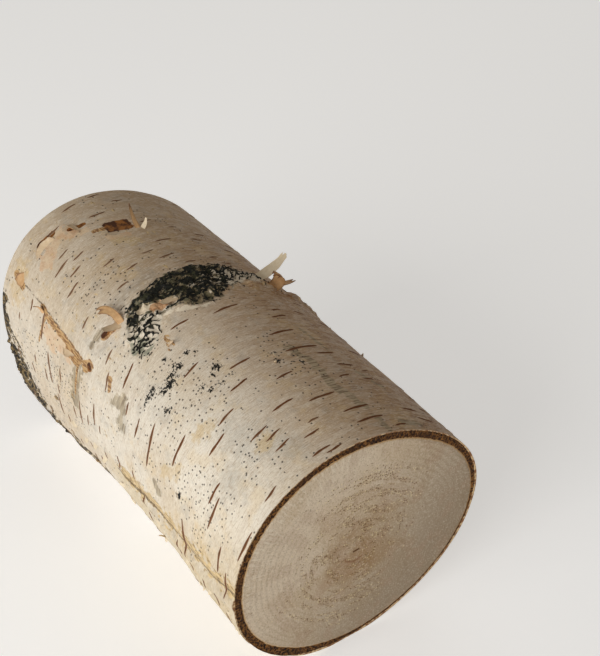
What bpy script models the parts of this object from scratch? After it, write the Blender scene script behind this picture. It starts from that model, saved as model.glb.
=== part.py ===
"""A short sawn log of white birch lying on its side.

Three nodes, one inside the other: the wood, the brown inner bark and the white papery outer bark.
The log lies along X. +X is the sawn end that shows its rings, +Z is up and the underside rests on z = 0.
A place on the bark is given as s, the distance in mm from the +X end, and as an angle in degrees
that runs from +Y over the top (90) to -Y (180) and on round the underside (270).
"""
import bpy
import bmesh
import math
import random
import numpy as np
from mathutils import Vector, noise

for ob in list(bpy.data.objects):
    bpy.data.objects.remove(ob, do_unlink=True)

# Driving dimensions, in mm and degrees
MM = 0.001
LENGTH = 159.0          # between the two saw cuts
RADIUS = 50.0           # mean radius over the bark
PAPER = 1.4             # thickness of the white outer bark
CORK = 2.8              # thickness of the brown inner bark
GAP = 0.3               # left between two layers
WORN = 0.55             # how much the underside is worn flat, which gives a strip about 16 wide
FOOT = 0.3              # how far three low lumps of bark stand out of that strip
FEET = ((64.0, 9.0), (64.0, -9.0), (150.0, -4.0))    # where the log touches the ground: s, y
CUT_YAW = 2.2           # slant of the +X saw cut seen from above
CUT_PITCH = 0.7         # slant of the +X saw cut seen from the side
CURL = 0.7              # thickness of a curl of bark
COLUMNS = 80            # facets round the log
PLAIN_ROWS = np.linspace(0.0, LENGTH, 7)
SKIN_ROWS = np.concatenate([np.linspace(0, 74, 16), np.linspace(76, 104, 15), np.linspace(108, LENGTH, 13)])

# Section of the stem at its two ends: how much two and three waves round it change the radius (cos, sin)
NEAR_WAVES = {2: (0.014, -0.039), 3: (0.022, 0.002)}
FAR_WAVES = {2: (-0.066, -0.017), 3: (0.044, 0.027)}
FAR_SHIFT_Y, FAR_SHIFT_Z, BOW_Y = -4.2, 5.0, 1.5


def smooth(x):
    x = np.clip(x, 0.0, 1.0)
    return x * x * (3.0 - 2.0 * x)


def angle_gap(a, b):
    """Difference of two angles in degrees, -180 to 180."""
    return (np.asarray(a) - b + 180.0) % 360.0 - 180.0


def stem_radius(s, a):
    """Radius of the stem over the bark, without its relief."""
    t, th = np.asarray(s) / LENGTH, np.radians(a)
    waves = 0.0
    for k in NEAR_WAVES:
        c = NEAR_WAVES[k][0] * (1 - t) + FAR_WAVES[k][0] * t
        d = NEAR_WAVES[k][1] * (1 - t) + FAR_WAVES[k][1] * t
        waves = waves + c * np.cos(k * th) + d * np.sin(k * th)
    return RADIUS * (1.0 + 0.007 * t + waves)


def place(s, a, r):
    """Point in space at s, angle a and distance r from the axis of the stem."""
    t, th = np.asarray(s) / LENGTH, np.radians(a)
    y = r * np.cos(th) + FAR_SHIFT_Y * t + BOW_Y * 4 * t * (1 - t)
    z = RADIUS + r * np.sin(th) + FAR_SHIFT_Z * t - 0.6 * (1 - t) ** 2
    near = np.clip(1 - t / 0.12, 0, 1)
    slant = math.tan(math.radians(CUT_YAW)) * y + math.tan(math.radians(CUT_PITCH)) * (z - RADIUS)
    return np.stack([-s + near * slant, y, z], -1)


def blob(s, a, s0, a0, along, across, turn=0.0):
    """1 in the middle of an oval patch and 0 outside it. The patch may be turned on the bark."""
    ds = np.asarray(s) - s0
    da = np.radians(angle_gap(a, a0)) * RADIUS
    c, d = math.cos(math.radians(turn)), math.sin(math.radians(turn))
    u, v = (ds * c + da * d) / along, (-ds * d + da * c) / across
    return smooth(1.5 * (1.0 - np.sqrt(u * u + v * v)))


def rough(s, a, scale, octaves, seed):
    """Lumps between about -1 and 1, of about scale mm, without a seam round the stem."""
    s, a = np.broadcast_arrays(np.asarray(s, float), np.asarray(a, float))
    out = np.empty(s.shape)
    for i in np.ndindex(s.shape):
        th = math.radians(a[i])
        p = Vector((s[i], RADIUS * math.cos(th), RADIUS * math.sin(th))) / scale + Vector((seed, seed, 0))
        out[i] = noise.fractal(p, 1.0, 2.0, octaves)
    return out


def crust(s, a):
    """The black crust of the old branch collar: a band over the top that thins to a seam round the back."""
    off = angle_gap(a, 96)
    mid = 89.0 + 2.5 * np.cos(np.radians(off * 2.5)) - 0.06 * np.abs(off)
    half = np.interp(off, [-150, -75, -40, -26, -8, 14, 26, 36, 50],
                     [0.4, 1.2, 2.6, 5.5, 9.0, 9.0, 8.0, 1.0, 0.0])
    return smooth((half - np.abs(np.asarray(s) - mid)) / 3.0 + 0.4) * smooth(half / 2.0)


HOLLOWS = [  # s, angle, half size along the log, half size round it, turn, depth
    (134, 99, 7, 7, 0, 0.65), (145, 112, 6, 3, 10, 0.5), (150, 125, 5, 8, 0, 0.4), (150, 143, 4, 6, 0, 0.45),
    (114, 150, 14, 4, -8, 0.4), (99, 150, 4, 4, 0, 0.6), (97, 136, 5, 5, 0, 0.5), (104, 166, 5, 11, 0, 0.3),
    (76, 156, 5, 10, 20, 0.3), (40, 304, 7, 5, 0, 0.6), (120, 322, 9, 5, 15, 0.5), (28, 20, 5, 8, 0, 0.5),
    (140, 15, 9, 5, -10, 0.5), (60, 345, 4, 9, 0, 0.4),
]


def relief(s, a):
    """How far the bark stands out of the plain stem, in mm."""
    out = 0.22 * rough(s, a, 26.0, 3, 11.0)
    out += crust(s, a) * (1.4 + 1.2 * rough(s, a, 5.0, 3, 3.0))
    # mossy lumps low down toward the far end, the waist below the middle and the flatter corner of the cut
    out += 0.7 * blob(s, a, 137, 214, 34, 26) * (1.0 + 1.1 * rough(s, a, 9.0, 2, 7.0))
    out -= 1.1 * blob(s, a, 72, 206, 44, 26) + 1.0 * blob(s, a, 0, 224, 44, 22)
    # the lengthwise crease with its lip
    off = np.radians(angle_gap(a, 180.0 - 6.0 * smooth((15.0 - np.asarray(s)) / 15.0))) * RADIUS
    on = smooth((82.0 - np.asarray(s)) / 14.0)
    out += on * (0.8 * np.exp(-((off - 4.0) / 2.6) ** 2) - 0.5 * np.exp(-(off / 2.4) ** 2))
    for s0, a0, along, across, turn, deep in HOLLOWS:
        out -= deep * blob(s, a, s0, a0, along, across, turn)
    return np.maximum(out, -0.65)


def grid(rows, depth, bark=False):
    """Rings of points, one for each row, at a depth below the plain stem or on the finished bark."""
    s, a = np.meshgrid(np.asarray(rows, float), np.arange(COLUMNS) * 360.0 / COLUMNS, indexing="ij")
    p = place(s, a, stem_radius(s, a) - depth + (relief(s, a) if bark else 0.0))
    if bark:
        p[..., 2] = np.maximum(p[..., 2], WORN)
        for s0, y0 in FEET:
            away = np.hypot(p[..., 0] + s0, p[..., 1] - y0) + 100.0 * (p[..., 2] > WORN + 1.4)
            p[np.unravel_index(np.argmin(away), away.shape)][2] = WORN - FOOT
    return p


def skin_between(bm, rings):
    """Joins each ring of vertices to the next one with facets."""
    for lower, upper in zip(rings, rings[1:]):
        for j in range(len(lower)):
            k = (j + 1) % len(lower)
            bm.faces.new((lower[j], lower[k], upper[k], upper[j]))


def make_object(name, bm, material=None):
    bmesh.ops.triangulate(bm, faces=bm.faces[:])
    bmesh.ops.recalc_face_normals(bm, faces=bm.faces)
    me = bpy.data.meshes.new(name)
    bm.to_mesh(me)
    bm.free()
    ob = bpy.data.objects.new(name, me)
    bpy.context.scene.collection.objects.link(ob)
    if material:
        me.materials.append(material)
    return ob


def material(name, colour, roughness):
    m = bpy.data.materials.new(name)
    m.use_nodes = True
    b = m.node_tree.nodes["Principled BSDF"]
    b.inputs["Base Color"].default_value = (*colour, 1.0)
    b.inputs["Roughness"].default_value = roughness
    b.inputs["Metallic"].default_value = 0.0
    return m


def tube(name, outer, inner, mat):
    """A closed sleeve: outer face, +X end, inner face, far end."""
    bm = bmesh.new()
    out_rings = [[bm.verts.new(Vector(p) * MM) for p in ring] for ring in outer]
    in_rings = [[bm.verts.new(Vector(p) * MM) for p in ring] for ring in inner]
    skin_between(bm, out_rings)
    skin_between(bm, in_rings)
    skin_between(bm, [out_rings[0], in_rings[0]])
    skin_between(bm, [out_rings[-1], in_rings[-1]])
    return make_object(name, bm, mat)


def rod(name, rings, mat):
    """A solid stem with a flat sawn face at each end."""
    bm = bmesh.new()
    loops = [[bm.verts.new(Vector(p) * MM) for p in ring] for ring in rings]
    skin_between(bm, loops)
    for loop, ring in ((loops[0], rings[0]), (loops[-1], rings[-1])):
        hub = bm.verts.new(Vector(ring.mean(0)) * MM)
        for j in range(len(loop)):
            bm.faces.new((loop[j], loop[(j + 1) % len(loop)], hub))
    return make_object(name, bm, mat)


def curl(s, a, heading, length, width, rise, turn, taper=0.3, steps=7):
    """A strip of bark that leaves the skin and rolls up.

    heading: 0 runs toward the far end, 90 toward a growing angle. rise and turn: its slope above the bark
    where it leaves and at its tip. The root is sunk into the skin.
    """
    th, h = math.radians(a), math.radians(heading)
    up = Vector((0, math.cos(th), math.sin(th)))
    ahead = Vector((-1, 0, 0)) * math.cos(h) + Vector((0, -math.sin(th), math.cos(th))) * math.sin(h)
    side = up.cross(ahead)
    root = float(stem_radius(s, a) + max(relief(s, a), 0.0)) - 0.5 * CURL - 0.35
    p = Vector(place(s, a, root)) - ahead * 1.2
    bm, rings, pace = bmesh.new(), [], (length + 1.2) / steps
    for i in range(steps + 1):
        u = i / steps
        slope = math.radians(rise + (turn - rise) * u ** 1.3)
        along = ahead * math.cos(slope) + up * math.sin(slope)
        over = up * math.cos(slope) - ahead * math.sin(slope)
        half = 0.5 * width * (1.0 - taper * u * u) * (1.0 + 0.08 * math.sin(7.0 * u + s))
        rings.append([bm.verts.new((p + side * x * half + over * y * 0.5 * CURL) * MM)
                      for x, y in ((-1, -1), (1, -1), (1, 1), (-1, 1))])
        p = p + along * pace
    skin_between(bm, rings)
    bm.faces.new(rings[0])
    bm.faces.new(rings[-1])
    return make_object("curl_cutter", bm)


CURLS = [  # s, angle, heading, length, width, rise, turn, taper
    (92, 128, 14, 15, 3.6, 8, 42, 0.4), (95, 133, 65, 7, 5, 20, 130, 0.5), (131, 93, -5, 11, 2.4, 22, 55, 0.5),
    (130, 91, -70, 4, 2.2, 40, 80, 0.5), (145, 113, 95, 3, 6, 25, 90, 0.5), (147, 126, -10, 3, 11, 12, 40, 0.5),
    (132, 146, -80, 5, 2.4, 40, 120, 0.6), (111, 152, 98, 3, 14, 12, 50, 0.5), (149, 142, 5, 3, 6, 12, 60, 0.5),
    (93, 60, -105, 14, 7, 48, 82, 0.35), (86, 58, -85, 10, 6, 35, 250, 0.2), (90, 55, -95, 11, 4.5, 20, 40, 0.4),
    (88, 107, 100, 6, 4, 8, 30, 0.4), (74, 121, -150, 4, 2.4, 15, 50, 0.6),
]


def hidden_curls():
    """Curls on the side that the photograph hides, of the same kind, from one seed."""
    rng = random.Random(12)
    for n, a in enumerate((14, -2, -16, -30, -44, -57, 4, -24)):
        rolled = n % 2 == 0
        yield (16 + 17 * n + rng.uniform(-6, 6), a, rng.choice((-90, 90)) + rng.uniform(-20, 20),
               rng.uniform(7, 9) if rolled else rng.uniform(8, 13), rng.uniform(6, 12), rng.uniform(6, 12),
               rng.uniform(220, 270) if rolled else rng.uniform(14, 30), rng.uniform(0.2, 0.5))


def fuse(body, other):
    """Adds a closed solid to the body in code and removes the helper."""
    mod = body.modifiers.new("fuse", "BOOLEAN")
    mod.operation, mod.solver, mod.object = "UNION", "MANIFOLD", other
    graph = bpy.context.evaluated_depsgraph_get()
    me = bpy.data.meshes.new_from_object(body.evaluated_get(graph))
    body.modifiers.clear()
    body.data = me
    bpy.data.objects.remove(other, do_unlink=True)


# Colours seen in the photograph: white papery skin, brown corky layer, pale grey-beige wood
paper_white = material("papery outer bark, chalk white", (0.58, 0.50, 0.40), 0.75)
cork_brown = material("corky inner bark, brown", (0.115, 0.060, 0.032), 0.9)
sawn_wood = material("sawn birch wood, pale", (0.47, 0.37, 0.27), 0.8)

outer_bark = tube("outer_bark", grid(SKIN_ROWS, 0, True), grid(PLAIN_ROWS, PAPER), paper_white)
for spec in CURLS + list(hidden_curls()):
    fuse(outer_bark, curl(*spec))

inner_top = PAPER + GAP
inner_bark = tube("inner_bark", grid(PLAIN_ROWS, inner_top), grid(PLAIN_ROWS, inner_top + CORK), cork_brown)
wood = rod("wood", grid(PLAIN_ROWS, inner_top + CORK + GAP), sawn_wood)

# Set the log down: the middle of its box over the origin and the worn strip on z = 0
nodes = [outer_bark, inner_bark, wood]
corners = np.array([v.co for v in outer_bark.data.vertices])
low, high = corners.min(0), corners.max(0)
shift = Vector((-(low[0] + high[0]) / 2, -(low[1] + high[1]) / 2, -low[2]))
for ob in nodes:
    for v in ob.data.vertices:
        v.co += shift
    ob.data.shade_smooth()
    ob.data.set_sharp_from_angle(angle=math.radians(38))
    if not ob.data.materials:
        ob.data.materials.append(paper_white)
print("shift in mm", [round(x / MM, 3) for x in shift])
print("size in mm", [round(float(x) / MM, 2) for x in high - low])
for ob in nodes:
    print(ob.name, "triangles", sum(len(p.vertices) - 2 for p in ob.data.polygons))
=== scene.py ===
# %% [markdown]
# # A short log of white birch
#
# The log lies on its side, with one sawn end turned toward the camera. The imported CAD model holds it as
# three layers: pale wood, brown inner bark and white papery outer bark. This script dresses those layers.
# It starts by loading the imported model, so every piece can be made in place, in the frame of the CAD.

# %% Load the frame
import math
import random

import bpy
import numpy as np
from mathutils import Matrix, Vector, noise
from mathutils.bvhtree import BVHTree


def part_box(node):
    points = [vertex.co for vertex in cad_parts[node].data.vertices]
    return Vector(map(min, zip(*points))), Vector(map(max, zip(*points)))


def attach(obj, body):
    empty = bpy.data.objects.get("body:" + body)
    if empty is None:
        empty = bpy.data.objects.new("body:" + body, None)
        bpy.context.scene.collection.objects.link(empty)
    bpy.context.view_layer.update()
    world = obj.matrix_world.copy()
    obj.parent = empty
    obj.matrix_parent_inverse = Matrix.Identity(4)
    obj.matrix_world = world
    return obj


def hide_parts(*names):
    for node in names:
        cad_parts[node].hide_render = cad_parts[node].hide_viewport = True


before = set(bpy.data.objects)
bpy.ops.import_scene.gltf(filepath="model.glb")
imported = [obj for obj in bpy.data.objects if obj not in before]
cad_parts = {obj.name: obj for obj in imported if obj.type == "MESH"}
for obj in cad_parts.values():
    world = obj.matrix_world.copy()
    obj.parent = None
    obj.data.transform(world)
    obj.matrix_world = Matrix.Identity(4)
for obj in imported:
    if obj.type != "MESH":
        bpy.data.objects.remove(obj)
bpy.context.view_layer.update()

# %% [markdown]
# ## The stem
#
# A trunk is nearly a cylinder, but never quite. The real log is a little flat on one side, grows wider toward
# its far end and bends slightly. It could be sculpted by hand. Here it is a formula, the same one as in the
# CAD, because then any detail can be put at an exact place. A place on the bark is s, the distance in mm from
# the sawn end that shows its rings, and an angle in degrees: 0 at +Y, 90 on top, 180 at -Y, 270 underneath.

# %% The plain stem
MM = 0.001
LENGTH, RADIUS = 159.0, 50.0
PAPER, CORK, GAP, CURL = 1.4, 2.8, 0.3, 0.7      # thickness of the layers in the CAD
NEAR_WAVES = {2: (0.014, -0.039), 3: (0.022, 0.002)}
FAR_WAVES = {2: (-0.066, -0.017), 3: (0.044, 0.027)}
FAR_SHIFT_Y, FAR_SHIFT_Z, BOW_Y = -4.2, 5.0, 1.5
CUT_YAW, CUT_PITCH = 2.2, 0.7


def smooth(x):
    x = np.clip(x, 0.0, 1.0)
    return x * x * (3.0 - 2.0 * x)


def angle_gap(a, b):
    return (np.asarray(a, float) - b + 180.0) % 360.0 - 180.0


def stem_radius(s, a):
    t, th, waves = np.asarray(s) / LENGTH, np.radians(a), 0.0
    for k in NEAR_WAVES:
        c = NEAR_WAVES[k][0] * (1 - t) + FAR_WAVES[k][0] * t
        d = NEAR_WAVES[k][1] * (1 - t) + FAR_WAVES[k][1] * t
        waves = waves + c * np.cos(k * th) + d * np.sin(k * th)
    return RADIUS * (1.0 + 0.007 * t + waves)


def place(s, a, r):
    """Point in mm at s, angle a and distance r from the axis, before the log is set down."""
    t, th = np.asarray(s) / LENGTH, np.radians(a)
    y = r * np.cos(th) + FAR_SHIFT_Y * t + BOW_Y * 4 * t * (1 - t)
    z = RADIUS + r * np.sin(th) + FAR_SHIFT_Z * t - 0.6 * (1 - t) ** 2
    slant = math.tan(math.radians(CUT_YAW)) * y + math.tan(math.radians(CUT_PITCH)) * (z - RADIUS)
    return np.stack([-s + np.clip(1 - t / 0.12, 0, 1) * slant, y, z], -1)


# The CAD log was set down after it was built. Comparing one layer with its box gives that shift back.
ring_s, ring_a = np.meshgrid(np.linspace(0.0, LENGTH, 7), np.arange(80) * 4.5, indexing="ij")
own_wood = place(ring_s, ring_a, stem_radius(ring_s, ring_a) - PAPER - CORK - 2 * GAP).reshape(-1, 3)
SHIFT = np.array(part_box("wood")[0]) / MM - own_wood.min(0)
other_end = np.array(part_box("wood")[1]) / MM - own_wood.max(0)
print("shift in mm", SHIFT.round(3), "agrees to", float(abs(other_end - SHIFT).max()))

# %% [markdown]
# ## The relief of the bark
#
# Birch bark is smooth paper with a few strong marks: an old branch collar with black crust, hollows where the
# paper tore, a lengthwise crease low on one side. The large ones are in the CAD and are repeated here. The
# finer ones are added: bands that run round the stem, the step where the paper stops in front of the crust.

# %% Helpers for marks on the bark
def rough(s, a, scale, octaves, seed, band=1.0):
    """Lumps between about -1 and 1, of about scale mm. band above 1 stretches them round the stem."""
    s, a = np.broadcast_arrays(np.asarray(s, float), np.asarray(a, float))
    th, across = np.radians(a), scale * band
    p = np.stack([s / scale, RADIUS * np.cos(th) / across, RADIUS * np.sin(th) / across], -1) + (seed, seed, 0)
    return np.array([noise.fractal(v, 1.0, 2.0, octaves) for v in p.reshape(-1, 3).tolist()]).reshape(s.shape)


def blob(s, a, s0, a0, along, across, turn=0.0):
    """1 in the middle of an oval patch, 0 at its edge and less outside."""
    ds, da = np.asarray(s) - s0, np.radians(angle_gap(a, a0)) * RADIUS
    c, d = math.cos(math.radians(turn)), math.sin(math.radians(turn))
    return 1.0 - np.hypot((ds * c + da * d) / along, (-ds * d + da * c) / across)


def beside(s, a, path, width):
    """1 on a line over the bark, 0 at width mm from it and less outside. path holds places (s, angle)."""
    best = np.full(np.shape(s), 1e9)
    for (s0, a0), (s1, a1) in zip(path, path[1:]):
        x, y = np.asarray(s) - s0, np.radians(angle_gap(a, a0)) * RADIUS
        dx, dy = s1 - s0, math.radians(a1 - a0) * RADIUS
        u = np.clip((x * dx + y * dy) / (dx * dx + dy * dy), 0, 1)
        best = np.minimum(best, np.hypot(x - u * dx, y - u * dy))
    return 1.0 - best / width


# %% The relief that the CAD has too
HOLLOWS = [  # s, angle, half size along the log, half size round it, turn, depth
    (134, 99, 7, 7, 0, 0.65), (145, 112, 6, 3, 10, 0.5), (150, 125, 5, 8, 0, 0.4), (150, 143, 4, 6, 0, 0.45),
    (114, 150, 14, 4, -8, 0.4), (99, 150, 4, 4, 0, 0.6), (97, 136, 5, 5, 0, 0.5), (104, 166, 5, 11, 0, 0.3),
    (76, 156, 5, 10, 20, 0.3), (40, 304, 7, 5, 0, 0.6), (120, 322, 9, 5, 15, 0.5), (28, 20, 5, 8, 0, 0.5),
    (140, 15, 9, 5, -10, 0.5), (60, 345, 4, 9, 0, 0.4),
]


def collar(s, a, sharp=3.0):
    """How far inside the crust of the old branch collar a place is: 1 well inside, below 0 outside."""
    off = angle_gap(a, 96)
    mid = 89.0 + 2.5 * np.cos(np.radians(off * 2.5)) - 0.06 * np.abs(off)
    half = np.interp(off, [-150, -75, -40, -26, -8, 14, 26, 36, 50],
                     [0.4, 1.2, 2.6, 5.5, 9.0, 9.0, 8.0, 1.0, 0.0])
    return (half - np.abs(np.asarray(s) - mid)) / sharp, half


def crust(s, a):
    inside, half = collar(s, a)
    return smooth(inside + 0.4) * smooth(half / 2.0)


def crease(s, a):
    """Distance in mm round the stem from the lengthwise crease, and how strong the crease is there."""
    off = np.radians(angle_gap(a, 180.0 - 6.0 * smooth((15.0 - np.asarray(s)) / 15.0))) * RADIUS
    return off, smooth((82.0 - np.asarray(s)) / 14.0)


def relief(s, a):
    out = 0.22 * rough(s, a, 26.0, 3, 11.0)
    out += crust(s, a) * (1.4 + 1.2 * rough(s, a, 5.0, 3, 3.0))
    out += 0.7 * smooth(1.5 * blob(s, a, 137, 214, 34, 26)) * (1.0 + 1.1 * rough(s, a, 9.0, 2, 7.0))
    out -= 1.1 * smooth(1.5 * blob(s, a, 72, 206, 44, 26)) + smooth(1.5 * blob(s, a, 0, 224, 44, 22))
    off, on = crease(s, a)
    out += on * (0.8 * np.exp(-((off - 4.0) / 2.6) ** 2) - 0.5 * np.exp(-(off / 2.4) ** 2))
    for s0, a0, along, across, turn, deep in HOLLOWS:
        out -= deep * smooth(1.5 * blob(s, a, s0, a0, along, across, turn))
    return np.maximum(out, -0.65)


# %% The finer relief
# where the near paper stops in front of the crust: s, angle
PAPER_EDGE = [(76, 123), (80, 118), (83, 114), (81, 107), (79, 101), (79, 96), (83.5, 84), (87, 74), (88, 62)]


def paper_step(s, a):
    """1 on the near sheet of paper and 0 beyond its torn edge in front of the crust."""
    edge = np.interp(a, [p[1] for p in PAPER_EDGE[::-1]], [p[0] for p in PAPER_EDGE[::-1]])
    ragged = 0.5 * rough(0 * np.asarray(s), a, 2.0, 3, 41.0)
    here = smooth((np.asarray(a) - 58) / 8.0) * smooth((122 - np.asarray(a)) / 6.0)
    return smooth((edge + ragged - s) / 0.9) * here * smooth((np.asarray(s) - 60.0) / 14.0)


def fine_relief(s, a):
    out = relief(s, a)
    calm = 1.0 - crust(s, a)
    out += calm * 0.07 * rough(s, a, 2.2, 3, 17.0, band=7.0)
    out += 0.3 * paper_step(s, a)
    # wavy folds behind the crust, flakes on the worn strip under the crease, lumps of moss
    fold = smooth(1.6 * beside(s, a, [(99, 127), (103, 118), (103, 106)], 4.0))
    out += fold * 0.55 * np.sin(np.asarray(s) * 3.4 + 2.0 * rough(s, a, 9.0, 2, 23.0))
    low = smooth((angle_gap(a, 183) + 2.0) / 6.0) * smooth((240.0 - np.asarray(a)) / 10.0)
    out += low * 0.28 * np.abs(rough(s, a, 4.0, 3, 29.0, band=1.8))
    mossy = smooth(1.6 * beside(s, a, [(157, 186), (151, 204), (130, 213)], 8.0))
    out += 1.7 * mossy * np.abs(rough(s, a, 3.6, 3, 31.0))
    return out


# %% [markdown]
# A log on the ground stands on a few low lumps, and its underside is rubbed flat. The next cell does that and
# gives one function that everything else uses to find the surface.

# %% A point on the finished bark
WORN, FOOT = 0.55, 0.3
FEET = ((64.0, 9.0), (64.0, -9.0), (150.0, -4.0))


def set_down(p):
    """Rubs the underside flat but for the low lumps it stands on, and moves the log to its place."""
    feet = sum(smooth(1.4 - np.hypot(p[..., 0] + s0, p[..., 1] - y0) / 4.0) for s0, y0 in FEET)
    p[..., 2] = np.maximum(p[..., 2], WORN - FOOT * np.clip(feet, 0, 1))
    return p + SHIFT


def bark_point(s, a, lift=0.0):
    return set_down(place(s, a, stem_radius(s, a) + fine_relief(s, a) + lift))


def under_bark(s0, a, depth):
    """A ring of points at s0, some mm under the plain stem, before the log is set down."""
    return place(np.full(len(a), s0), a, stem_radius(s0, a) - depth)


print("top of the stem in mm", bark_point(np.array([40.0]), np.array([90.0])).round(1))

# %% [markdown]
# ## Zones on the bark
#
# What colours the bark sits in places: ink-black specks, tan tears, brown windows, grey scars, moss. The marks
# could be painted on an image. Here each kind gets a number at every vertex, above 0 inside its patches and
# below 0 outside, and the material bites a ragged edge into it with a noise, so the edge is crisp at any size.

# %% Where each kind of mark is
INK = [  # black specks: s, angle, half size along, half size round
    (65, 125, 0.8, 0.9), (63.5, 124, 0.9, 1.1), (63.7, 128, 0.9, 1.2), (61.5, 131, 1.3, 2.2), (61.8, 134, 1.0, 1.5),
    (65.7, 137.3, 1.0, 1.7), (65.7, 140, 0.8, 1.3), (65.7, 143, 0.5, 0.8), (53.2, 115, 1.3, 1.3),
    (51.5, 118, 0.9, 1.0), (46.8, 118, 0.8, 0.9), (50.7, 123, 0.9, 0.9), (47.3, 122, 0.8, 0.9),
    (55.7, 138, 1.0, 1.0), (65.7, 119, 0.7, 0.7), (63.7, 116, 0.5, 0.5), (70, 126, 0.7, 0.7), (42.8, 96, 0.7, 0.9),
    (46.8, 95, 0.6, 0.9), (47.3, 113, 0.6, 0.8), (37, 160, 0.7, 1.0), (88, 132, 0.7, 0.7), (42.8, 89, 0.6, 0.6),
    (39.3, 88, 0.8, 0.5),
]
TORN = [  # tan fibre where a layer has torn off: path, half width
    ([(126.8, 147.0), (110, 149.2), (104, 150.2)], 1.5), ([(153, 142.5), (147, 144.6)], 1.6),
    ([(112, 151.4), (105.5, 152)], 2.1), ([(137.5, 108.5), (136.6, 105)], 1.0),
    ([(132.6, 144.6), (129, 146.4)], 1.3), ([(104.4, 154), (104.8, 160), (105.2, 168)], 0.6),
    ([(129.3, 147.5), (131.3, 160)], 0.6), ([(96, 131), (98, 136)], 1.2), ([(98, 148.5), (100.5, 150.5)], 1.9),
    ([(86, 146), (84.5, 150)], 1.1), ([(88.5, 116.5), (88, 111.5)], 1.3), ([(92, 50), (87, 60)], 2.6),
    ([(77, 120), (71, 122.5)], 0.45), ([(76.5, 119), (71, 120)], 0.35),
]
BARED = [  # windows where the brown inner bark shows: path, half width
    ([(138.1, 103), (136.9, 95)], 1.3), ([(136.3, 103), (135.1, 95)], 1.3), ([(134.5, 103), (133.3, 95)], 1.3),
    ([(145.6, 114.5), (143.9, 109)], 1.0), ([(149.7, 120), (150.4, 127)], 1.2),
    ([(97.6, 132.6), (98.8, 135.6)], 1.0), ([(99.2, 149.5), (98.4, 150.5)], 1.1), ([(112, 331), (104, 335)], 3.0),
    ([(47, 301), (41, 304)], 2.4), ([(28, 16), (29, 22)], 2.4),
]
PALE_TEAR = [  # the pale layer under the top one: path, half width
    ([(123, 151), (111, 152.5)], 3.2), ([(128, 152), (122, 157)], 2.2),
    ([(147, 119), (143.5, 125), (141.5, 130)], 3.2), ([(143, 115), (140, 111)], 1.8),
    ([(131, 106), (129, 99)], 1.4), ([(93, 119), (92, 115), (86.5, 108.5)], 1.4),
]
SCAR = [  # grey-brown fibrous scars and scratches: path, half width
    ([(104.4, 153), (104.9, 160), (105.4, 172)], 2.9), ([(79, 152), (76, 149.5), (74.5, 158)], 2.4),
    ([(57, 72), (44, 70)], 0.8), ([(101, 141.5), (100.5, 135)], 1.3), ([(30, 66), (22, 60)], 1.0),
    ([(47, 87), (38, 84), (32, 85), (24, 86), (14, 82)], 1.5), ([(7, 82), (1, 82)], 1.2), ([(4, 72), (3, 63)], 1.2),
    ([(50.5, 166), (48.5, 169)], 1.6),
]
STAIN = [  # faint tan smears: path, half width
    ([(24, 168), (21, 171)], 3.0), ([(47, 158), (41, 152)], 2.0), ([(19, 120), (19, 123)], 2.2),
    ([(38, 131), (40, 136)], 2.0), ([(129, 104), (124, 100)], 2.4), ([(152, 140), (150, 150)], 3.5),
]
CREASE_LIP = [(74, 183), (51, 178), (31, 177), (15, 176), (1, 172)]
print("marks placed by hand", sum(map(len, (INK, TORN, BARED, PALE_TEAR, SCAR, STAIN))))

# %% The outline of the black crust
CRUST_TOP = [  # angle, s
    (-84, 82.5), (-54, 82.9), (20, 82.5), (40, 85), (51, 91.2), (62, 91.4), (66, 94), (70, 97.5), (76, 99),
    (87, 99.5), (102, 100), (110, 98.5), (118, 98), (123, 96.5), (126, 92), (129, 88), (133, 81.5), (136, 78),
]
CRUST_LOW = [
    (-84, 82), (-54, 82.3), (20, 81.9), (40, 84.2), (51, 89.2), (62, 88.8), (67, 88), (75, 87.5), (84, 84),
    (96, 79.6), (102, 81), (107, 83.5), (115, 84), (118, 82), (121, 79), (125, 77), (128, 77), (131, 79.5),
    (133, 82), (136, 90),
]


def black(s, a):
    """How far inside the black part of the collar a place is. Past its right end it thins to a line."""
    turn, s = angle_gap(a, 96) + 96, np.asarray(s)
    top = np.interp(turn, *zip(*CRUST_TOP))
    low = np.interp(turn, *zip(*CRUST_LOW))
    return np.minimum(top - s, s - low) / 3.0


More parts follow.
